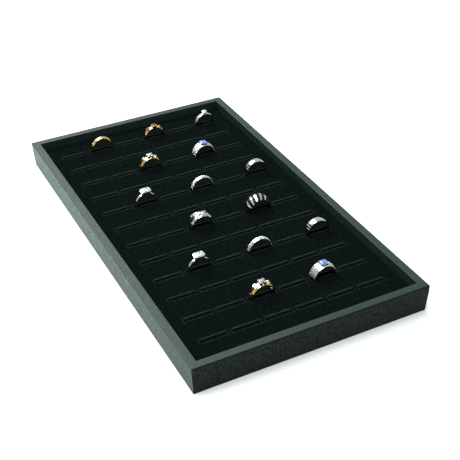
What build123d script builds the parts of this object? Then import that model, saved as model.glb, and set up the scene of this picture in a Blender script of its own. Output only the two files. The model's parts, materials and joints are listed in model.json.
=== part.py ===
"""Jeweller's ring display tray: a leatherette-covered frame, a lift-out slotted velvet pad and fifteen rings.

Frame: +Z up, +Y along the tray's length towards its back, origin at the middle of the underside. Millimetres.
Slots are counted as row 1 (back) to row 12 (front) and column 1 (left, -X) to column 6 (right).
"""

import math
import os

from build123d import *

# ---- driving dimensions -------------------------------------------------------------------------
TRAY_W = 209.55  # 8 1/4 in, the standard full-size display tray
TRAY_L = 374.65  # 14 3/4 in
TRAY_H = 25.4  # 1 in
RIM = 7.6  # width of the flat top rim
TAPER = 1.5  # how far each outer wall leans in at its foot
CORNER_R = 1.4
WRAP_T = 0.6  # leatherette
LINER_T = 0.6  # sheet under the tray
BASE_T = 3.0  # hardboard base
RABBET = 3.0  # how far the base runs under the rails
FLOOR_T = 0.5  # paper lining on the base
RIM_R_OUT = 1.1
RIM_R_IN = 0.5

PAD_GAP = 0.55  # all round, so that the pad lifts out
CARD_T = 1.5
FOAM_T = 11.6
VELVET_T = 0.8
PAD_EDGE_R = 2.2

ROWS = 12
COLUMNS = 6
ROW_PITCH = 28.1
COLUMN_PITCH = 28.4
SLOT_LENGTH = 24.2
SLOT_WIDTH = 3.9

RING_R = 10.8  # outer radius of every ring
WAIST = 3.2  # greatest width of a ring inside its slot
BAND_T = 1.7

BRAD_D = 1.2
BRAD_L = 14.0
UNDER_BRAD_L = 10.0

# ---- levels that follow ---------------------------------------------------------------------------
FLOOR_Z = LINER_T + BASE_T
CARD_Z = FLOOR_Z + FLOOR_T
FOAM_Z = CARD_Z + CARD_T
VELVET_Z = FOAM_Z + FOAM_T
PAD_TOP = VELVET_Z + VELVET_T
WELL_W = TRAY_W - 2 * RIM
WELL_L = TRAY_L - 2 * RIM
PAD_W = WELL_W - 2 * PAD_GAP
PAD_L = WELL_L - 2 * PAD_GAP

parts = {}


def box_between(x, y, z):
    """A box from three (low, high) pairs."""
    size = [b - a for a, b in (x, y, z)]
    middle = [(a + b) / 2 for a, b in (x, y, z)]
    return Pos(*middle) * Box(*size)


def slot_place(row, column):
    """Where a slot's middle is in plan."""
    x = (column - (COLUMNS + 1) / 2) * COLUMN_PITCH
    y = ((ROWS + 1) / 2 - row) * ROW_PITCH
    return x, y


# ---- tray -----------------------------------------------------------------------------------------
SIDES = {
    "front": (TRAY_W, Pos(0, -TRAY_L / 2, 0)),
    "back": (TRAY_W, Pos(0, TRAY_L / 2, 0) * Rot(0, 0, 180)),
    "left": (TRAY_L, Pos(-TRAY_W / 2, 0, 0) * Rot(0, 0, -90)),
    "right": (TRAY_L, Pos(TRAY_W / 2, 0, 0) * Rot(0, 0, 90)),
}


def wall_u(z):
    """How far in the leaning outer wall is at a height."""
    return TAPER * (1 - z / TRAY_H)


def wrap_section():
    """The leatherette's section: up the outer wall, over the rim and down inside, as (inward, up)."""
    core_top = TRAY_H - WRAP_T
    return [
        (wall_u(LINER_T), LINER_T),
        (0, TRAY_H),
        (RIM, TRAY_H),
        (RIM, FLOOR_Z),
        (RIM - WRAP_T, FLOOR_Z),
        (RIM - WRAP_T, core_top),
        (wall_u(core_top) + WRAP_T, core_top),
        (wall_u(LINER_T) + WRAP_T, LINER_T),
    ]


def rail_section():
    """The wooden rail's section, rabbeted for the base."""
    core_top = TRAY_H - WRAP_T
    return [
        (wall_u(LINER_T) + WRAP_T, LINER_T),
        (wall_u(core_top) + WRAP_T, core_top),
        (RIM - WRAP_T, core_top),
        (RIM - WRAP_T, FLOOR_Z),
        (RIM - RABBET, FLOOR_Z),
        (RIM - RABBET, LINER_T),
    ]


def side_prism(section, length, rounds=()):
    """A side's section run along the side, its ends mitred."""
    face = Plane.YZ * make_face(Polyline(*section, close=True))
    for (u, z), radius in rounds:
        corner = [v for v in face.vertices() if abs(v.Y - u) < 1e-6 and abs(v.Z - z) < 1e-6]
        face = fillet(corner, radius)
    prism = extrude(face, amount=length / 2, both=True)
    half, depth = length / 2, 40.0
    plan = Polyline((-half, 0), (half, 0), (half - depth, depth), (-half + depth, depth), close=True)
    return prism & extrude(make_face(plan), amount=TRAY_H + 2)


def corner_brads():
    """Two brads at each corner, driven through a long rail into the end of a short one."""
    brads = []
    for sx in (-1, 1):
        for sy in (-1, 1):
            for z in (9.0, 17.0):
                x = sx * (TRAY_W / 2 - 2.6 - BRAD_L / 2)
                y = sy * (TRAY_L / 2 - RIM / 2 - 0.6)
                brads.append(Pos(x, y, z) * Rot(0, 90, 0) * Cylinder(BRAD_D / 2, BRAD_L))
    return brads


def base_brads():
    """Brads up through the base into the rails."""
    inset = RIM - RABBET / 2
    z = LINER_T + UNDER_BRAD_L / 2
    places = [(x, sy * (TRAY_L / 2 - inset)) for sy in (-1, 1) for x in (-60.0, 0.0, 60.0)]
    places += [(sx * (TRAY_W / 2 - inset), y) for sx in (-1, 1) for y in (-130.0, -43.0, 43.0, 130.0)]
    return [Pos(x, y, z) * Cylinder(BRAD_D / 2, UNDER_BRAD_L) for x, y in places]


def make_tray():
    corner, under = corner_brads(), base_brads()
    rounded = extrude(RectangleRounded(TRAY_W, TRAY_L, CORNER_R), amount=TRAY_H)
    rounds = [((0, TRAY_H), RIM_R_OUT), ((RIM, TRAY_H), RIM_R_IN)]
    for name, (length, place) in SIDES.items():
        rail = place * side_prism(rail_section(), length)
        parts["rail_" + name] = rail - corner - under
        wrap = place * side_prism(wrap_section(), length, rounds)
        parts["leatherette_" + name] = wrap & rounded
    base = Pos(0, 0, LINER_T + BASE_T / 2) * Box(WELL_W + 2 * RABBET, WELL_L + 2 * RABBET, BASE_T)
    parts["base_panel"] = base - under
    foot = Box(TRAY_W - 2 * TAPER, TRAY_L - 2 * TAPER, LINER_T)
    parts["bottom_liner"] = Pos(0, 0, LINER_T / 2) * foot
    parts["floor_liner"] = Pos(0, 0, FLOOR_Z + FLOOR_T / 2) * Box(WELL_W, WELL_L, FLOOR_T)
    parts["brads"] = Compound(children=corner + under)


# ---- velvet pad -----------------------------------------------------------------------------------
def pillow(width, length, low, high, radius):
    """A block with a rounded top edge."""
    block = box_between((-width / 2, width / 2), (-length / 2, length / 2), (low, high))
    return fillet(block.edges().group_by(Axis.Z)[-1], radius)


def make_pad():
    core_w, core_l = PAD_W - 2 * VELVET_T, PAD_L - 2 * VELVET_T
    inner_r = PAD_EDGE_R - VELVET_T
    parts["pad_card"] = Pos(0, 0, CARD_Z + CARD_T / 2) * Box(core_w, core_l, CARD_T)
    foam = pillow(core_w, core_l, FOAM_Z, VELVET_Z, inner_r)
    slots, webs = [], []
    for row in range(1, ROWS + 1):
        for column in range(1, COLUMNS + 1):
            x, y = slot_place(row, column)
            slots.append(Pos(x, y, PAD_TOP) * Box(SLOT_LENGTH, SLOT_WIDTH, 60))
    cover = pillow(PAD_W, PAD_L, CARD_Z, PAD_TOP, PAD_EDGE_R)
    cover -= pillow(core_w, core_l, CARD_Z - 1, VELVET_Z, inner_r)
    parts["velvet_cover"] = cover - slots
    edges = [core_l / 2] + [slot_place(row, 1)[1] for row in range(1, ROWS + 1)] + [-core_l / 2]
    for i in range(ROWS + 1):
        high = edges[i] - (SLOT_WIDTH / 2 if i else 0)
        low = edges[i + 1] + (SLOT_WIDTH / 2 if i < ROWS else 0)
        slab = box_between((-core_w, core_w), (low, high), (0, 40))
        parts[f"foam_bar_{i + 1:02d}"] = foam & slab
    for row in range(1, ROWS + 1):
        y = slot_place(row, 1)[1]
        for gap in range(COLUMNS + 1):
            x = (gap - COLUMNS / 2) * COLUMN_PITCH
            half = (COLUMN_PITCH - SLOT_LENGTH) / 2
            left = -core_w / 2 if gap == 0 else x - half
            right = core_w / 2 if gap == COLUMNS else x + half
            y_span = (y - SLOT_WIDTH / 2, y + SLOT_WIDTH / 2)
            webs.append(box_between((left, right), y_span, (FOAM_Z, VELVET_Z - inner_r)))
    parts["foam_webs"] = Compound(children=webs)


# ---- rings: each drawn round the origin, its hole along Y and its head at +Z ------------------------
def band(width, thickness=BAND_T, flat=0.5, lift=0.0):
    """A domed band; flat is the share of its thickness kept at the edges."""
    inner = RING_R - BAND_T
    outer = inner + thickness + lift
    edge = inner + flat * thickness
    half = width / 2
    outline = Polyline((edge, -half), (inner, -half), (inner, half), (edge, half))
    dome = ThreePointArc((edge, half), (outer, 0), (edge, -half))
    return revolve(make_face(outline.edges() + dome.edges()), Axis.Y)


def waisted(shape, top_width, sink, rise=2.6):
    """A band slimmed below the velvet so that it fits a slot, widening to top_width over its next rise."""
    steps = 6
    clear = sink - RING_R + 0.3
    heights = [clear + rise * i / steps for i in range(steps + 1)]
    swell = [math.sin(math.pi / 2 * i / steps) for i in range(steps + 1)]
    right = [((WAIST + (top_width - WAIST) * s) / 2, z) for s, z in zip(swell, heights)]
    right = [(WAIST / 2, -20)] + right + [(top_width / 2, 20)]
    left = [(-y, z) for y, z in reversed(right)]
    outline = Plane.YZ * make_face(Polyline(*right, *left, close=True))
    return shape & extrude(outline, amount=20, both=True)


def at_top(shape, angle=0.0, rise=0.0):
    """Stands a shape on the band, turned about the finger by angle from the top."""
    return Rot(0, angle, 0) * Pos(0, 0, RING_R + rise) * shape


def finger_hole():
    return Rot(90, 0, 0) * Cylinder(RING_R - BAND_T + 0.05, 40)


def brilliant(radius, sides=8):
    """A round stone, its girdle at z = 0."""
    girdle = RegularPolygon(radius, sides)
    crown = loft([girdle.face(), (Pos(0, 0, 0.34 * radius) * RegularPolygon(0.56 * radius, sides)).face()])
    culet = Pos(0, 0, -0.7 * radius) * RegularPolygon(0.1 * radius, sides)
    return crown + loft([culet.face(), girdle.face()])


def cut_corner_plan(width, length, z):
    w, n = width / 2, length / 2
    c = 0.28 * min(w, n)
    ring = [(w - c, n), (w, n - c), (w, c - n), (w - c, -n), (c - w, -n), (-w, c - n), (-w, n - c), (c - w, n)]
    return Pos(0, 0, z) * make_face(Polyline(*ring, close=True))


def step_cut(width, length, height):
    """A step-cut stone with cut corners, its girdle at z = 0."""
    plans = [(1.0, 0.0), (0.84, 0.3 * height), (0.6, 0.45 * height)]
    faces = [cut_corner_plan(width * s, length * s, z) for s, z in plans]
    below = cut_corner_plan(width * 0.4, length * 0.4, -0.55 * height)
    return loft(faces[:2]) + loft(faces[1:]) + loft([below, faces[0]])


def cup(radius, height):
    """A short cup whose rim is at z = 0."""
    return Pos(0, 0, -height / 2) * Cylinder(radius, height)


def gold_band(sink):
    return {"band": waisted(band(4.4, flat=0.4), 4.4, sink)}


def garnet_ring(sink):
    """A low three-lobed top: a garnet between two swelling gold shoulders."""
    shank = waisted(band(4.6, thickness=2.1, flat=0.5), 4.6, sink)
    places = [(0.0, 2.4, 1.3), (-36.0, 1.5, 0.9), (36.0, 1.5, 0.9)]
    cups = [at_top(cup(radius + 0.5, 2.2), angle, rise) for angle, radius, rise in places]
    stones = [at_top(brilliant(radius, 10), angle, rise) for angle, radius, rise in places]
    shank -= stones
    head = cups[0] + cups[1] + cups[2] - finger_hole() - shank - stones
    return {"band": shank, "setting": head, "stones": Compound(children=stones)}


def solitaire(sink):
    """A band of two rails with a channel between them, under a round stone in prongs."""
    shank = waisted(band(4.2, flat=0.8), 4.2, sink)
    for angle in range(-72, 73, 12):
        if abs(angle) > 15:
            shank -= at_top(Box(2.6, 1.3, 1.4), angle)
    stone = at_top(brilliant(2.7, 12), 0, 2.2)
    head = Pos(0, 0, 0.4) * Cylinder(1.7, 1.2)
    for i in range(4):
        turn = Rot(0, 0, 45 + 90 * i)
        head += turn * Pos(1.9, 0, 1.3) * Rot(0, 30, 0) * Cylinder(0.38, 3.4)
    head = at_top(head) - finger_hole() - shank - stone
    return {"band": shank, "setting": head, "stone": stone}


def flower_ring(sink):
    """A split shank under a small white cluster, with a leaf of two stones on each shoulder."""
    shank = waisted(band(6.4, thickness=2.0, flat=0.5), 6.4, sink, rise=3.4)
    for angle in (-64, -50, 50, 64):
        shank -= at_top(Box(4.2, 2.0, 8), angle)
    spots = [(0.0, 0.0, 0.0, 1.5, 2.6)]
    for i in range(4):
        a = math.radians(45 + 90 * i)
        spots.append((0.0, 2.35 * math.cos(a), 2.35 * math.sin(a), 1.15, 1.9))
    for angle in (-33, 33):
        spots += [(angle, 0.0, 0.95, 1.1, 1.0), (angle, 0.0, -1.35, 0.9, 0.8)]
    cups = [at_top(Pos(x, y, 0) * cup(r + 0.3, 2.4), angle, rise) for angle, x, y, r, rise in spots]
    stones = [at_top(Pos(x, y, 0) * brilliant(r), angle, rise) for angle, x, y, r, rise in spots]
    head = cups[0].fuse(*cups[1:]) - finger_hole() - shank - stones
    return {"band": shank, "setting": head, "stones": Compound(children=stones)}


def square_stone_ring(sink):
    """A wide band that carries a square stone in a low frame."""
    shank = waisted(band(9.0, flat=0.6), 9.0, sink, rise=3.2)
    stone = at_top(step_cut(5.6, 5.6, 2.2), 0, 1.0)
    frame = at_top(Box(6.9, 6.9, 3.2), 0, -0.5)
    frame = chamfer(frame.edges().filter_by(Axis.Z), 1.0)
    frame -= at_top(Box(5.0, 5.0, 4), 0, 2.2)
    shank -= stone
    return {"band": shank, "setting": frame - finger_hole() - shank - stone, "stone": stone}


def cluster_ring(sink):
    """A thin shank under a cushion-shaped head."""
    shank = waisted(band(2.6, flat=0.8), 2.6, sink)
    block = extrude(RectangleRounded(10.6, 7.6, 2.8), amount=3.0)
    block = fillet(block.edges().group_by(Axis.Z)[-1], 1.3)
    block = fillet(block.edges().group_by(Axis.Z)[0], 0.8)
    head = at_top(block + Pos(0, 0, -0.6) * Cylinder(1.9, 2.0), 0, 0.4)
    return {"band": shank, "setting": head - finger_hole() - shank}


def pave_band(sink):
    return {"band": waisted(band(4.0, flat=0.7), 4.0, sink)}


def striped_band(sink):
    """A flat band, plain on top, with dark bars let in across both of its sides."""
    shank = waisted(band(6.2, thickness=2.0, flat=0.8), 6.2, sink)
    angles = [-82, -70, -58, -46, 54, 66, 78]
    bars = [at_top(Box(1.25, 8.0, 1.6), angle) & shank for angle in angles]
    return {"band": shank - bars, "inlay": Compound(children=[s for bar in bars for s in bar.solids()])}


def knot_ring(sink):
    """Two broad strips that cross over the top and leave an eye on each side."""
    shank = waisted(band(8.4, thickness=2.0, flat=0.4), 8.4, sink, rise=3.6)
    for angle in (-46, 46):
        shank -= at_top(Rot(0, 0, 14) * Box(6.4, 3.4, 8), angle)
    for angle in (-12, 20):
        shank -= at_top(Box(3.0, 12, 1.2), angle, 0.3)
    strips = []
    for turn in (-28, 28):
        strip = Rot(0, 0, turn) * band(2.8, thickness=BAND_T + 1.4, flat=0.6)
        strips.append(strip & box_between((-8.0, 8.0), (-5, 5), (5.0, 16)))
    return {"band": shank + strips - finger_hole()}


def dome_ring(sink):
    """A broad domed top with slanting dark and light stripes."""
    shape = waisted(band(12.4, thickness=2.9, flat=0.2), 12.4, sink, rise=5.0)
    core = band(12.8, thickness=2.4, flat=0.1)
    shell = (shape - core) & box_between((-14, 14), (-8, 8), (sink - RING_R + 0.5, 16))
    cutters = [at_top(Rot(0, 0, -14) * Box(2.7, 16, 9), angle) for angle in range(-96, 97, 24)]
    solids = [s for cutter in cutters for s in (shell & cutter).solids() if s.volume > 0.1]
    return {"band": shape - solids, "inlay": Compound(children=solids)}


# row, column, style, how deep the ring sits below the velvet
RINGS = [
    (1, 2, gold_band, 8.4),
    (1, 4, garnet_ring, 11.0),
    (1, 6, solitaire, 10.4),
    (3, 3, flower_ring, 9.6),
    (3, 5, square_stone_ring, 10.4),
    (5, 2, cluster_ring, 10.8),
    (5, 4, pave_band, 10.2),
    (5, 6, striped_band, 8.6),
    (7, 3, knot_ring, 9.6),
    (7, 5, dome_ring, 8.6),
    (9, 2, cluster_ring, 10.8),
    (9, 4, pave_band, 10.2),
    (9, 6, striped_band, 9.6),
    (11, 3, flower_ring, 9.6),
    (11, 5, square_stone_ring, 10.4),
]


def make_rings():
    for number, (row, column, style, sink) in enumerate(RINGS, start=1):
        x, y = slot_place(row, column)
        z = PAD_TOP - sink + RING_R
        for piece, shape in style(sink).items():
            parts[f"ring_{number:02d}_{piece}"] = Pos(x, y, z) * shape


make_tray()
make_pad()
make_rings()

os.makedirs("parts", exist_ok=True)
for name, shape in parts.items():
    export_step(shape, f"parts/{name}.step")
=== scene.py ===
"""A jeweller's ring display tray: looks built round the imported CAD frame, in metres."""

import json
import math
import random

import bpy
from mathutils import Matrix, Vector


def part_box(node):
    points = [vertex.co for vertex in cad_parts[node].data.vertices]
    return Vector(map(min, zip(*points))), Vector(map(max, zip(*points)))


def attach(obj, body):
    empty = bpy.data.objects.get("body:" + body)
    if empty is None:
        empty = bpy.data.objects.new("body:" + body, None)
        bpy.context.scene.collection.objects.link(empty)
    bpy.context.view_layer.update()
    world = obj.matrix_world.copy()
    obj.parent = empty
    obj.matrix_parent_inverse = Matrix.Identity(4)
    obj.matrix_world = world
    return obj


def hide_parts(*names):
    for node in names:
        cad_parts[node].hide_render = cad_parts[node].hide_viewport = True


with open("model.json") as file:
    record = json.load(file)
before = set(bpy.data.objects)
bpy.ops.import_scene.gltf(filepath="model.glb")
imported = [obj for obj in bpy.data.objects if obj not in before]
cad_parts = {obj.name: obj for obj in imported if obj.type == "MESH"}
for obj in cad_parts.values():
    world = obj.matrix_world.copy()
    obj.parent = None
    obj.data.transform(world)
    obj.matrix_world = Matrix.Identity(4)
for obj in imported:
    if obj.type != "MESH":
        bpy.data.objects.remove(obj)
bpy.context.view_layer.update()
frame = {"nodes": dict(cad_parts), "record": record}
MM = 0.001
SEED = 7

# ---- the tray, its slots and its rings ------------------------------------------------------------
COVER_LOW, COVER_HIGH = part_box("velvet_cover")
CARD_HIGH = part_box("pad_card")[1]
RIM_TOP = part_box("leatherette_front")[1][2]
PAD_TOP = COVER_HIGH[2]
WALL_X, WALL_Y = 100 * MM, 180 * MM  # roughly how far out the side walls stand
EDGE_SHADE_DEPTH = 1.2 * MM  # how far down the rim's edge is painted dark, as painted shade
ROWS, COLUMNS = 12, 6
ROW_PITCH, COLUMN_PITCH = 28.1 * MM, 28.4 * MM
SLOT_HALF = 12.1 * MM  # half the length of a slot
BAND_R = 10.8 * MM  # outer radius of a ring's band

# ---- the velvet -----------------------------------------------------------------------------------
PAD_EDGE = 2.2 * MM  # radius of the pad's top edge
CARD_GAP = 0.1 * MM  # between the side of the card and the velvet turned in beside it
CLEARANCE = 0.05 * MM  # above the card, and under the velvet's hem
TOP_DROP = 0.25 * MM  # how far the flat velvet lies below the top of the CAD cover
WAVE = 0.10 * MM  # how uneven the velvet is
WAVE_X, WAVE_Y = 9 * MM, 11 * MM
WAVE_ROW, WAVE_COLUMN = 1.7, 2.3  # how the waves shift from one row or column to the next
GRID_X, GRID_Y = 1.5 * MM, 1.8 * MM  # spacing of the mesh away from the slots

FLAP_HALF = 4.0 * MM  # how far the flaps beside a slot reach from its middle
CREST_HALF = 2.95 * MM  # where a straight flap is highest
CREST_RISE = 0.32 * MM
CREST_DIP = 0.22 * MM  # the hollow on the outer side of the crest
FRONT_BOW, BACK_BOW = 0.55 * MM, 0.25 * MM  # how far the front and the back flap sag into the slot
LEAST_SLACK, MOST_SLACK = 0.6, 1.5  # and how that varies from slot to slot
SLIT_HALF, HELD_SLIT_HALF = 0.25 * MM, 1.75 * MM  # half the width of an empty slit, and round a ring
FLAP_FALL, HELD_FALL = 0.8 * MM, 2.6 * MM  # how far the flaps turn down in each
SLIT_FLOOR, HELD_FLOOR = PAD_TOP - 3.0 * MM, 6.6 * MM  # the height of the bottom of each
END_INNER, END_OUTER = 11.65 * MM, 12.3 * MM  # the pressed groove across each end of a slot
END_DEPTH, END_TAPER = 3.2 * MM, 0.5 * MM

# Where the velvet is coloured lighter along each slot: a painted highlight.
LIP_DEPTH = 1.0 * MM  # how far down the velvet's lips get the painted highlight
LIP_REACH = 11.7 * MM  # how far along a slot from its middle
LIP_BANDS = ((1.4 * MM, 3.3 * MM), (-2.9 * MM, -2.3 * MM))  # on the back flap and on the front one
LIP_END_INNER, LIP_END_OUTER = 12.2 * MM, 12.9 * MM  # across a slot's end
LIP_END_HALF = 3.9 * MM

# ---- set stones -----------------------------------------------------------------------------------
BEAD_R = 0.2 * MM
STONE_TURN = 0.9  # radians from one stone to the next, so that their facets differ
HEAD_PITCH = 1.75 * MM  # spacing of the stones on a cushion-shaped head
HEAD_CROWN = 0.25 * MM  # how much higher the middle one stands
HEAD_TILT = 0.08  # how much more each stone leans outwards than the one before it
SHOULDER_X, SHOULDER_Y, SHOULDER_DROP = 4.75 * MM, 3.3 * MM, 0.75 * MM  # the row round the head
SHOULDER_COUNT = 16
SHOULDER_LIFT = 0.8  # how much its stones face up, against 1 outwards
WIDE_ROW = 1.7 * MM  # spacing of the rows across a wide band
WIDE_STAGGER = 4.3  # degrees by which every second row is turned
WIDE_SAG, WIDE_HALF = 0.68 * MM, 4.5 * MM  # how far the band's edge falls, and half its width

# ---- light and camera -----------------------------------------------------------------------------
LIGHT_COLOUR = (0.93, 1.0, 0.975)
WORLD_COLOUR = (0.97, 1.0, 0.99, 1)
WORLD_STRENGTH = 0.60
FLOOR_HALF = 6.0
CAMERA_AZIMUTH, CAMERA_ELEVATION, CAMERA_ROLL = (math.radians(a) for a in (-26.46, 34.56, -1.04))
CAMERA_TARGET = Vector((16.38, -10.12, 0)) * MM
CAMERA_DISTANCE = 887.6 * MM
CAMERA_LENS, CAMERA_SENSOR = 76.6, 36  # in millimetres, as Blender takes them


def slot_x(column):
    return (column - (COLUMNS + 1) / 2) * COLUMN_PITCH


def slot_y(row):
    return ((ROWS + 1) / 2 - row) * ROW_PITCH


def nearest_slot(x, y):
    """The slot nearest to a point, as (row, column), and where the point is from that slot's middle."""
    column = min(COLUMNS, max(1, round(x / COLUMN_PITCH + (COLUMNS + 1) / 2)))
    row = min(ROWS, max(1, round((ROWS + 1) / 2 - y / ROW_PITCH)))
    return (row, column), x - slot_x(column), y - slot_y(row)


# ---- materials ------------------------------------------------------------------------------------
MATERIALS = {}  # by finish, because the frame's own materials may have taken the plain names


def surface(name, dark, light, grain, rough, bump=0.0, bump_size=0.0, cells=False, spread=0.2, **sockets):
    """Adds a procedural finish: two shades mixed by a noise of that grain, with roughness varied between
    two values and a bump. Sizes are in metres; sockets are constants for the shader."""
    mat = bpy.data.materials.new(name)
    mat.use_nodes = True
    nodes, links = mat.node_tree.nodes, mat.node_tree.links
    shader = nodes["Principled BSDF"]
    where = nodes.new("ShaderNodeTexCoord")
    noise = nodes.new("ShaderNodeTexNoise")
    noise.inputs["Scale"].default_value = 1 / grain
    noise.inputs["Detail"].default_value = 4
    links.new(where.outputs["Object"], noise.inputs["Vector"])
    ramp = nodes.new("ShaderNodeValToRGB")
    ramp.color_ramp.elements[0].position = 0.5 - spread
    ramp.color_ramp.elements[0].color = (*dark, 1)
    ramp.color_ramp.elements[1].position = 0.5 + spread
    ramp.color_ramp.elements[1].color = (*light, 1)
    links.new(noise.outputs["Fac"], ramp.inputs["Fac"])
    links.new(ramp.outputs["Color"], shader.inputs["Base Color"])
    vary = nodes.new("ShaderNodeMapRange")
    vary.inputs["To Min"].default_value = rough[0]
    vary.inputs["To Max"].default_value = rough[1]
    links.new(noise.outputs["Fac"], vary.inputs["Value"])
    links.new(vary.outputs["Result"], shader.inputs["Roughness"])
    if bump:
        add_bump(nodes, links, where, shader, bump, bump_size, cells)
    for word, value in sockets.items():
        socket = word.replace("_", " ").replace("Specular", "Specular IOR Level")
        shader.inputs[socket].default_value = value
    MATERIALS[name] = mat


def add_bump(nodes, links, where, shader, strength, size, cells):
    """A relief of soft noise, or of rounded cells for a pebbled grain, a fifth as deep as it is wide."""
    if cells:
        relief = nodes.new("ShaderNodeTexVoronoi")
        height = relief.outputs["Distance"]
    else:
        relief = nodes.new("ShaderNodeTexNoise")
        relief.inputs["Detail"].default_value = 3
        height = relief.outputs["Fac"]
    relief.inputs["Scale"].default_value = 1 / size
    links.new(where.outputs["Object"], relief.inputs["Vector"])
    lift = nodes.new("ShaderNodeBump")
    lift.inputs["Strength"].default_value = strength
    lift.inputs["Distance"].default_value = 0.2 * size
    links.new(height, lift.inputs["Height"])
    links.new(lift.outputs["Normal"], shader.inputs["Normal"])


def metal(name, dark, light, rough):
    surface(name, dark, light, 4 * MM, rough, bump=0.05, bump_size=1 * MM, Metallic=1.0)


def add_leatherette():
    """The pressed cloth of the rim, the coarser side walls with a darker colour and near-black speckles
    painted in as shade, and the edge between them painted dark as shade.
    """
    surface("leatherette", (0.008, 0.017, 0.014), (0.018, 0.034, 0.029), 1.2 * MM, (0.38, 0.48),
            bump=0.45, bump_size=1.2 * MM, cells=True, Specular=0.30)
    # painted shade: a darker copy of the leatherette for the walls, its near-black speckles standing in for
    # the grain's shadows
    surface("leatherette_wall_painted_shade", (0.001, 0.003, 0.0025), (0.018, 0.025, 0.021), 1.5 * MM, (0.35, 0.60),
            bump=0.9, bump_size=1.5 * MM, cells=True, spread=0.14, Specular=0.04)
    # painted shade: a darker copy of the leatherette for the rim's rounded edge
    surface("leatherette_edge_painted_shade", (0.004, 0.008, 0.007), (0.010, 0.016, 0.014), 1.2 * MM, (0.6, 0.7),
            bump=0.3, bump_size=1.2 * MM, cells=True, Specular=0.05)


def add_frame_finishes():
    """The wooden rails, the base and its papers, and the brads."""
    surface("rail_wood", (0.30, 0.19, 0.10), (0.42, 0.28, 0.16), 6 * MM, (0.6, 0.8),
            bump=0.2, bump_size=1 * MM)
    surface("hardboard", (0.10, 0.06, 0.03), (0.14, 0.09, 0.05), 2 * MM, (0.6, 0.8),
            bump=0.2, bump_size=1 * MM)
    surface("under_paper", (0.010, 0.012, 0.012), (0.018, 0.020, 0.020), 1.5 * MM, (0.6, 0.8),
            bump=0.3, bump_size=0.8 * MM)
    surface("lining_paper", (0.012, 0.014, 0.014), (0.02, 0.023, 0.023), 2 * MM, (0.7, 0.9),
            bump=0.2, bump_size=0.8 * MM)
    metal("brad_steel", (0.5, 0.5, 0.5), (0.6, 0.6, 0.6), (0.25, 0.4))


def add_pad_finishes():
    """The pad's card and foam, its velvet, and a lighter copy of the velvet that paints the highlight where
    its pile turns over into a slot.
    """
    surface("pad_card", (0.15, 0.13, 0.10), (0.20, 0.17, 0.13), 2 * MM, (0.8, 0.95),
            bump=0.2, bump_size=0.8 * MM)
    surface("foam", (0.012, 0.014, 0.014), (0.02, 0.022, 0.022), 1.5 * MM, (0.9, 1.0),
            bump=0.4, bump_size=0.8 * MM)
    surface("velvet", (0.0016, 0.0030, 0.0030), (0.0036, 0.0060, 0.0060), 3 * MM, (0.85, 1.0),
            bump=0.45, bump_size=0.7 * MM, Sheen_Weight=0.006, Sheen_Roughness=0.4, Specular=0.0)
    # painted highlight: a lighter copy of the velvet for the slots' lips
    surface("velvet_lip_highlight", (0.002, 0.004, 0.004), (0.013, 0.019, 0.018), 2.6 * MM, (0.8, 1.0),
            bump=0.6, bump_size=0.6 * MM, Sheen_Weight=0.03, Sheen_Roughness=0.4, Specular=0.1)


def add_ring_finishes():
    polish = dict(Coat_Weight=1.0, Coat_Roughness=0.03)
    metal("gold", (0.76, 0.47, 0.16), (0.90, 0.66, 0.32), (0.08, 0.18))
    metal("silver", (0.58, 0.61, 0.58), (0.80, 0.82, 0.78), (0.08, 0.18))
    surface("garnet", (0.05, 0.002, 0.004), (0.11, 0.004, 0.01), 2 * MM, (0.03, 0.08), **polish)
    surface("clear_stone", (0.30, 0.33, 0.32), (0.86, 0.90, 0.86), 0.8 * MM, (0.03, 0.10),
            Metallic=0.75, **polish)
    surface("blue_stone", (0.06, 0.12, 0.50), (0.16, 0.26, 0.75), 2 * MM, (0.03, 0.08), **polish)
    surface("dark_inlay", (0.001, 0.001, 0.001), (0.003, 0.003, 0.003), 1.5 * MM, (0.20, 0.30), Specular=0.12)


add_leatherette()
add_frame_finishes()
add_pad_finishes()
add_ring_finishes()
SLOT_OF = {entry["node"]: entry["material_slot"] for entry in frame["record"]["subparts"]}


def finish_node(node, obj):
    obj.data.materials.clear()
    obj.data.materials.append(MATERIALS[SLOT_OF[node]])


def finish_walls(wrap):
    """The outside of a wrapped side has a coarser grain than the pressed rim, and a darker colour with
    near-black speckles that is painted shade. Its rounded edge is painted dark as painted shade.
    """
    # the outward upright faces get the darker, speckled copy: painted shade
    wrap.data.materials.append(MATERIALS["leatherette_wall_painted_shade"])
    # the rounded faces near the rim get the darker edge copy: painted shade
    wrap.data.materials.append(MATERIALS["leatherette_edge_painted_shade"])
    wall, edge = 1, 2
    facing_out = 0.05
    for polygon in wrap.data.polygons:
        normal, centre = polygon.normal, polygon.center
        outward = normal.x * centre.x / WALL_X + normal.y * centre.y / WALL_Y
        rounded = 0.0 < normal.z < 0.97
        upright = abs(normal.z) < 0.3
        near_rim = centre.z > RIM_TOP - EDGE_SHADE_DEPTH
        if near_rim and outward > facing_out and rounded:
            polygon.material_index = edge
        elif upright and outward > 0:
            polygon.material_index = wall


for node, obj in frame["nodes"].items():
    finish_node(node, obj)
    if node.startswith("leatherette"):
        finish_walls(obj)


# ---- mesh helpers ---------------------------------------------------------------------------------
def new_piece(name, verts, faces, slot, body, smooth=True):
    mesh = bpy.data.meshes.new(name)
    mesh.from_pydata([tuple(v) for v in verts], [], faces)
    mesh.validate()
    mesh.materials.append(MATERIALS[slot])
    for polygon in mesh.polygons:
        polygon.use_smooth = smooth
    obj = bpy.data.objects.new(name, mesh)
    bpy.context.scene.collection.objects.link(obj)
    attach(obj, body)
    return obj


def smooth_step(t):
    t = min(1.0, max(0.0, t))
    return t * t * (3 - 2 * t)


def mirrored(marks):
    """Marks up to a slot's middle, given in millimetres, and their mirror images, all in metres."""
    return [m * MM for m in marks + [-m for m in reversed(marks[:-1])]]


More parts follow.
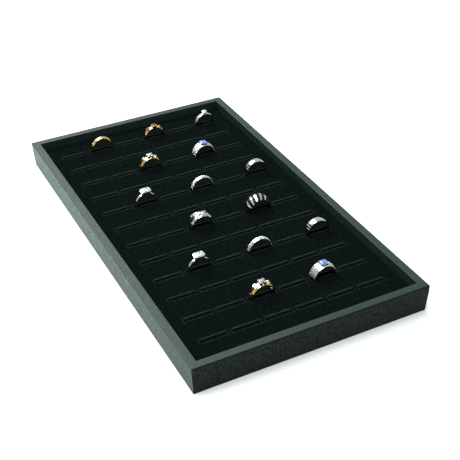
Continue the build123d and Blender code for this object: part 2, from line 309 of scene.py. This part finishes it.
def spaced(low, high, step):
    count = max(1, round((high - low) / step))
    return [low + (high - low) * i / count for i in range(count)]


def grid_lines(half, centres, marks, step):
    """Coordinates from -half to half: close round every centre, at its marks, and step apart elsewhere."""
    lines = []
    at = -half
    for centre in sorted(centres):
        near = [centre + m for m in marks]
        lines += spaced(at, near[0], step)
        lines += near[:-1]
        at = near[-1]
    return lines + spaced(at, half, step) + [half]


# ---- velvet pad -----------------------------------------------------------------------------------
# The mesh is close where the velvet turns down: along a slot near its ends, and across it near the slit.
X_MARKS = mirrored([-12.9, -12.35, -12.2, -11.75, -11.6, -11.2, -10.4, -9.2, -7.6, -5.8, -3.9, -2.0, 0.0])
Y_MARKS = mirrored([-4.6, -4.1, -3.7, -3.3, -2.9, -2.6, -2.3, -2.05, -1.85, -1.74, -1.4, -1.0, -0.5, -0.24,
                    0.0])


def held_slots():
    """The (row, column) of every slot with a ring in it."""
    held = set()
    for node in frame["nodes"]:
        if node.endswith("_band"):
            low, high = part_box(node)
            held.add(nearest_slot((low[0] + high[0]) / 2, (low[1] + high[1]) / 2)[0])
    return held


HELD = held_slots()


def flap_height(across, crest, holds_ring):
    """A flap's height over the flat velvet, at a distance from the slot's middle line. It dips, rises to
    its crest and turns down into the slit. None means that the point is past the flap, in the slit."""
    if across >= crest:
        t = (FLAP_HALF - across) / (FLAP_HALF - crest)
        return CREST_RISE * math.sin(math.pi / 2 * smooth_step(t)) - CREST_DIP * math.sin(math.pi * t)
    slit, fall = (HELD_SLIT_HALF, HELD_FALL) if holds_ring else (SLIT_HALF, FLAP_FALL)
    t = (crest - across) / (crest - slit)
    if t > 1:
        return None
    return CREST_RISE - fall * (1 - math.sqrt(max(0.0, 1 - t * t)))


def velvet_height(x, y, slack):
    """The velvet's height at a point: flat, with a pair of soft flaps turned down into every slot."""
    slot, along, off = nearest_slot(x, y)
    row, column = slot
    across = abs(off)
    wave = WAVE * math.sin(x / WAVE_X + WAVE_ROW * row) * math.cos(y / WAVE_Y + WAVE_COLUMN * column)
    top = PAD_TOP - TOP_DROP + wave
    if abs(along) > END_OUTER:
        return top
    if abs(along) > END_INNER:
        return top - END_DEPTH * smooth_step((FLAP_HALF - across) / END_TAPER)
    if across >= FLAP_HALF:
        return top
    bow = FRONT_BOW if off < 0 else BACK_BOW
    crest = CREST_HALF - bow * slack[slot] * (1 - (along / SLOT_HALF) ** 2)
    height = flap_height(across, crest, slot in HELD)
    if height is None:
        return HELD_FLOOR if slot in HELD else SLIT_FLOOR
    return top + height


def on_painted_highlight(point):
    """Whether a point is where the velvet turns over into a slot and gets the lighter velvet, a painted
    highlight.
    """
    if point.z < PAD_TOP - LIP_DEPTH:
        return False
    _, along, off = nearest_slot(point.x, point.y)
    if LIP_END_INNER < abs(along) < LIP_END_OUTER and abs(off) < LIP_END_HALF:
        return True
    return abs(along) < LIP_REACH and any(low < off < high for low, high in LIP_BANDS)


def grid_rim(nx, ny):
    """The indices of a grid's outermost points, in order round it."""
    front = list(range(nx))
    right = [j * nx + nx - 1 for j in range(1, ny)]
    back = [(ny - 1) * nx + i for i in range(nx - 2, -1, -1)]
    left = [j * nx for j in range(ny - 2, 0, -1)]
    return front + right + back + left


def pushed(value, half, out):
    """A coordinate moved outwards, if it is that of one of the grid's outer lines."""
    touch = 1e-9
    if value >= half - touch:
        return value + out
    if value <= touch - half:
        return value - out
    return value


def side_levels(half_x):
    """The pad's sides, as (distance out from the grid, height): a rounded edge, down, and in to the card."""
    hem = COVER_LOW[2] + CLEARANCE
    turns = [math.radians(a) for a in (22, 45, 68, 90)]
    levels = [(PAD_EDGE * math.sin(a), PAD_TOP - PAD_EDGE * (1 - math.cos(a))) for a in turns]
    levels += [(PAD_EDGE, 0.5 * (PAD_TOP + COVER_LOW[2])), (PAD_EDGE, hem)]
    to_card = CARD_HIGH[0] + CARD_GAP - half_x
    return levels + [(to_card, hem), (to_card, CARD_HIGH[2] + CLEARANCE)]


def make_velvet():
    rng = random.Random(SEED)
    slots = [(r, c) for r in range(1, ROWS + 1) for c in range(1, COLUMNS + 1)]
    slack = {slot: rng.uniform(LEAST_SLACK, MOST_SLACK) for slot in slots}
    half_x, half_y = COVER_HIGH[0] - PAD_EDGE, COVER_HIGH[1] - PAD_EDGE
    xs = grid_lines(half_x, [slot_x(c) for c in range(1, COLUMNS + 1)], X_MARKS, GRID_X)
    ys = grid_lines(half_y, [slot_y(r) for r in range(1, ROWS + 1)], Y_MARKS, GRID_Y)
    nx, ny = len(xs), len(ys)
    verts = [(x, y, velvet_height(x, y, slack)) for y in ys for x in xs]
    corners = [j * nx + i for j in range(ny - 1) for i in range(nx - 1)]
    faces = [(a, a + 1, a + nx + 1, a + nx) for a in corners]
    rim = grid_rim(nx, ny)
    loops = [rim]
    for out, z in side_levels(half_x):
        start = len(verts)
        verts += [(pushed(verts[i][0], half_x, out), pushed(verts[i][1], half_y, out), z) for i in rim]
        loops.append(list(range(start, len(verts))))
    for upper, lower in zip(loops, loops[1:]):
        for k in range(len(upper)):
            n = (k + 1) % len(upper)
            faces.append((upper[k], lower[k], lower[n], upper[n]))
    faces.append(tuple(reversed(loops[-1])))
    pad = new_piece("velvet_pad", verts, faces, "velvet", "pad")
    # faces on the slots' lips get the lighter velvet, a painted highlight
    pad.data.materials.append(MATERIALS["velvet_lip_highlight"])
    for polygon in pad.data.polygons:
        if on_painted_highlight(polygon.center):
            polygon.material_index = 1
    soft = ["velvet_cover", "foam_webs"] + [n for n in frame["nodes"] if n.startswith("foam_bar")]
    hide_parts(*soft)


make_velvet()


# ---- set stones -----------------------------------------------------------------------------------
def stone_mesh(radius):
    """A small cut stone with its girdle at z = 0: table, crown and pavilion."""
    sides = 7
    table, crown, pavilion = 0.52 * radius, 0.36 * radius, 0.6 * radius
    verts, faces = [], []
    for r, z, turn in ((table, crown, 0.5), (radius, 0.0, 0.0)):
        for i in range(sides):
            a = 2 * math.pi * (i + turn) / sides
            verts.append(Vector((r * math.cos(a), r * math.sin(a), z)))
    verts.append(Vector((0, 0, -pavilion)))
    faces.append(tuple(range(sides)))
    for i in range(sides):
        n = (i + 1) % sides
        faces.append((i, sides + i, n))
        faces.append((n, sides + i, sides + n))
        faces.append((sides + n, sides + i, 2 * sides))
    return verts, faces


def bead_mesh(radius):
    """A grain of metal between stones."""
    tips = ((1, 0, 0), (0, 1, 0), (-1, 0, 0), (0, -1, 0), (0, 0, 1), (0, 0, -1))
    verts = [Vector(tip) * radius for tip in tips]
    faces = [(0, 1, 4), (1, 2, 4), (2, 3, 4), (3, 0, 4), (1, 0, 5), (2, 1, 5), (3, 2, 5), (0, 3, 5)]
    return verts, faces


def scatter(name, shape, places, slot, body, smooth=False):
    """One piece made of copies of a small mesh, each at a (point, outward direction) with a turn."""
    shape_verts, shape_faces = shape
    verts, faces = [], []
    for k, (point, normal) in enumerate(places):
        spin = Matrix.Rotation(STONE_TURN * k, 3, "Z").to_quaternion()
        turn = normal.to_track_quat("Z", "Y") @ spin
        start = len(verts)
        verts += [point + turn @ v for v in shape_verts]
        faces += [tuple(start + i for i in face) for face in shape_faces]
    new_piece(name, verts, faces, slot, body, smooth)


def ring_centre(number):
    low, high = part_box(f"ring_{number:02d}_band")
    return Vector(((low[0] + high[0]) / 2, (low[1] + high[1]) / 2, low[2] + BAND_R))


def arc(low, high, step):
    """Angles from low to high, in degrees, about a step apart."""
    count = round((high - low) / step)
    return [low + (high - low) * i / count for i in range(count + 1)]


def on_band(centre, angle, across, radius):
    """A place on a band: angle from the top, in degrees, and a distance along the finger."""
    a = math.radians(angle)
    normal = Vector((math.sin(a), 0, math.cos(a)))
    return centre + normal * radius + Vector((0, across, 0)), normal


def band_rows(number, rows, angles, size, radius):
    """Stones in rows round a band, with a pair of metal grains after each."""
    centre = ring_centre(number)
    body = f"ring_{number:02d}"
    places = [on_band(centre, angle, across, radius) for across in rows for angle in angles]
    scatter(body + "_set_stones", stone_mesh(size), places, "clear_stone", body)
    half_step = (angles[1] - angles[0]) / 2
    beside = 0.72 * size
    proud = radius + 0.05 * MM
    grains = []
    for across in rows:
        for angle in angles:
            for side in (-1, 1):
                grains.append(on_band(centre, angle + half_step, across + side * beside, proud))
    scatter(body + "_grains", bead_mesh(BEAD_R), grains, "silver", body, smooth=True)


def squared(value):
    """A coordinate of a unit circle, moved out towards a square with rounded corners."""
    return math.copysign(abs(value) ** 0.7, value)


def cluster_stones(number):
    """Stones over the top of a cushion-shaped head and round its shoulder."""
    body = f"ring_{number:02d}"
    top = ring_centre(number)
    top.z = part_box(body + "_setting")[1][2]
    places = []
    for i in range(-2, 3):
        for j in range(-1, 2):
            rise = HEAD_CROWN * (1 - abs(i) / 2) * (1 - abs(j) / 2)
            point = top + Vector((HEAD_PITCH * i, HEAD_PITCH * j, rise))
            places.append((point, Vector((HEAD_TILT * i, HEAD_TILT * j, 1)).normalized()))
    for i in range(SHOULDER_COUNT):
        a = 2 * math.pi * i / SHOULDER_COUNT
        out = Vector((math.cos(a), math.sin(a), 0))
        reach = Vector((SHOULDER_X * squared(out.x), SHOULDER_Y * squared(out.y), -SHOULDER_DROP))
        places.append((top + reach, (out + Vector((0, 0, SHOULDER_LIFT))).normalized()))
    scatter(body + "_set_stones", stone_mesh(0.88 * MM), places, "clear_stone", body)


def wide_band_stones(number):
    """Staggered stones over a wide domed band, one piece on each side of its head."""
    centre = ring_centre(number)
    body = f"ring_{number:02d}"
    for side, angles in enumerate((arc(-84, -24, 8.6), arc(24, 84, 8.6)), 1):
        places = []
        for j in range(-2, 3):
            across = WIDE_ROW * j
            shift = WIDE_STAGGER * (j % 2)
            radius = BAND_R - 0.05 * MM - WIDE_SAG * (across / WIDE_HALF) ** 2
            places += [on_band(centre, angle + shift, across, radius) for angle in angles]
        scatter(f"{body}_set_stones_{side}", stone_mesh(0.8 * MM), places, "clear_stone", body)


def make_stones():
    band_rows(3, [0.0], arc(-72, -24, 12) + arc(24, 72, 12), 0.62 * MM, BAND_R - 0.3 * MM)
    for number in (5, 15):
        wide_band_stones(number)
    for number in (6, 11):
        cluster_stones(number)
    for number in (7, 12):
        rows = [-1.15 * MM, 0.0, 1.15 * MM]
        band_rows(number, rows, arc(-84, 84, 6.4), 0.55 * MM, BAND_R - 0.12 * MM)


make_stones()


# ---- floor, light and camera ----------------------------------------------------------------------
def make_floor():
    mesh = bpy.data.meshes.new("floor")
    corners = [(-1, -1), (1, -1), (1, 1), (-1, 1)]
    mesh.from_pydata([(FLOOR_HALF * x, FLOOR_HALF * y, 0) for x, y in corners], [], [(0, 1, 2, 3)])
    floor = bpy.data.objects.new("floor", mesh)
    bpy.context.scene.collection.objects.link(floor)
    surface("floor_card", (0.90, 0.905, 0.905), (0.93, 0.935, 0.935), 0.5, (0.8, 0.9))
    mesh.materials.append(MATERIALS["floor_card"])


def area_light(name, place, aim, size, power):
    """A rectangular lamp, in metres and watts."""
    data = bpy.data.lights.new(name, "AREA")
    data.shape = "RECTANGLE"
    data.size, data.size_y = size
    data.energy = power
    data.color = LIGHT_COLOUR
    light = bpy.data.objects.new(name, data)
    light.location = place
    light.rotation_euler = (Vector(aim) - Vector(place)).to_track_quat("-Z", "Y").to_euler()
    bpy.context.scene.collection.objects.link(light)


def make_world():
    world = bpy.data.worlds.new("studio")
    bpy.context.scene.world = world
    world.use_nodes = True
    back = world.node_tree.nodes["Background"]
    back.inputs["Color"].default_value = WORLD_COLOUR
    back.inputs["Strength"].default_value = WORLD_STRENGTH


def make_camera():
    azimuth, elevation, roll = CAMERA_AZIMUTH, CAMERA_ELEVATION, CAMERA_ROLL
    back = Vector((math.sin(azimuth) * math.cos(elevation), -math.cos(azimuth) * math.cos(elevation),
                   math.sin(elevation)))
    right = Vector((math.cos(azimuth), math.sin(azimuth), 0))
    up = back.cross(right)
    across = right * math.cos(roll) + up * math.sin(roll)
    upward = up * math.cos(roll) - right * math.sin(roll)
    data = bpy.data.cameras.new("camera")
    data.sensor_width = CAMERA_SENSOR
    data.lens = CAMERA_LENS
    camera = bpy.data.objects.new("camera", data)
    turn = Matrix((across, upward, back)).transposed().to_4x4()
    camera.matrix_world = Matrix.Translation(CAMERA_TARGET + back * CAMERA_DISTANCE) @ turn
    bpy.context.scene.collection.objects.link(camera)
    bpy.context.scene.camera = camera


make_floor()
make_world()
area_light("strip_left", place=(-0.42, 0.27, 0.012), aim=(0, 0.27, 0.012), size=(0.85, 0.022), power=20)
area_light("top_back", place=(-0.2, 1.2, 1.2), aim=(0, 0, 0), size=(1.2, 0.6), power=26)
area_light("top_soft", place=(-0.3, -0.1, 1.8), aim=(0, 0, 0), size=(1.4, 1.4), power=32)
make_camera()
bpy.context.scene.view_settings.view_transform = "Standard"
